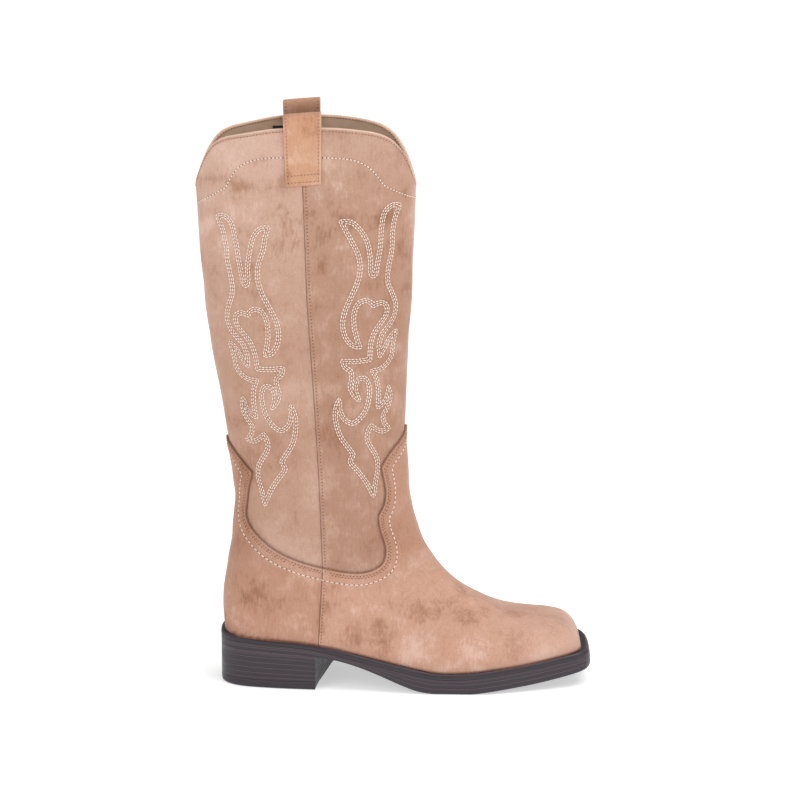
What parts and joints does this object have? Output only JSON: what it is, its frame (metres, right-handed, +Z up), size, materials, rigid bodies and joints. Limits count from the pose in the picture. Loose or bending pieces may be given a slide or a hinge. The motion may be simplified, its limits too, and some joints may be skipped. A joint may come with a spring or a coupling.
{
  "type": "cowboy boot",
  "caption": "Square-toed western boot with a scalloped collar, pull straps, lapped vamp and counter, and a low stacked block heel.",
  "frame": {"origin": "centre of the bounding box on the floor, under the boot", "axes": "+X to the toe, +Y to the inner (medial) side of the foot, +Z up the shaft"},
  "size_m": [0.2976, 0.0948, 0.4413],
  "materials": {
    "suede": "brushed nap, mottled, matte",
    "lining_cloth": "smooth woven lining",
    "footbed_cloth": "cloth over foam",
    "stiff_board": "pressed fibre board",
    "sole_rubber": "matt, with moulded layer lines",
    "bright_steel": "plain",
    "label_cloth": "plain woven tab"
  },
  "bodies": {
    "foot": {"outsole": "sole_rubber", "heel_block": "sole_rubber", "heel_top_piece": "sole_rubber", "welt": "sole_rubber", "insole_board": "stiff_board", "shank": "bright_steel", "bottom_filler": "stiff_board", "footbed": "footbed_cloth", "vamp": "suede", "counter": "suede", "toe_puff": "stiff_board", "heel_stiffener": "stiff_board", "vamp_lining": "lining_cloth", "heel_lining": "lining_cloth", "ankle_lining": "lining_cloth", "heel_nail_1": "bright_steel", "heel_nail_2": "bright_steel", "heel_nail_3": "bright_steel", "heel_nail_4": "bright_steel", "heel_nail_5": "bright_steel"},
    "shaft": {"shaft_front": "suede", "shaft_back": "suede", "shaft_lining_front": "lining_cloth", "shaft_lining_back": "lining_cloth", "collar_facing": "lining_cloth", "lateral_pull_strap": "suede", "medial_pull_strap": "suede", "size_label": "label_cloth"}
  },
  "joints": [
    {"name": "ankle_flex", "type": "hinge", "parent": "foot", "child": "shaft", "pos_m": [-0.059, 0, 0.112], "axis": [0, 1, 0], "range_deg": [-8, 16], "stiffness_Nm_per_rad": 3, "deforming": ["vamp", "counter", "ankle_lining", "shaft_front", "shaft_back"]}
  ]
}
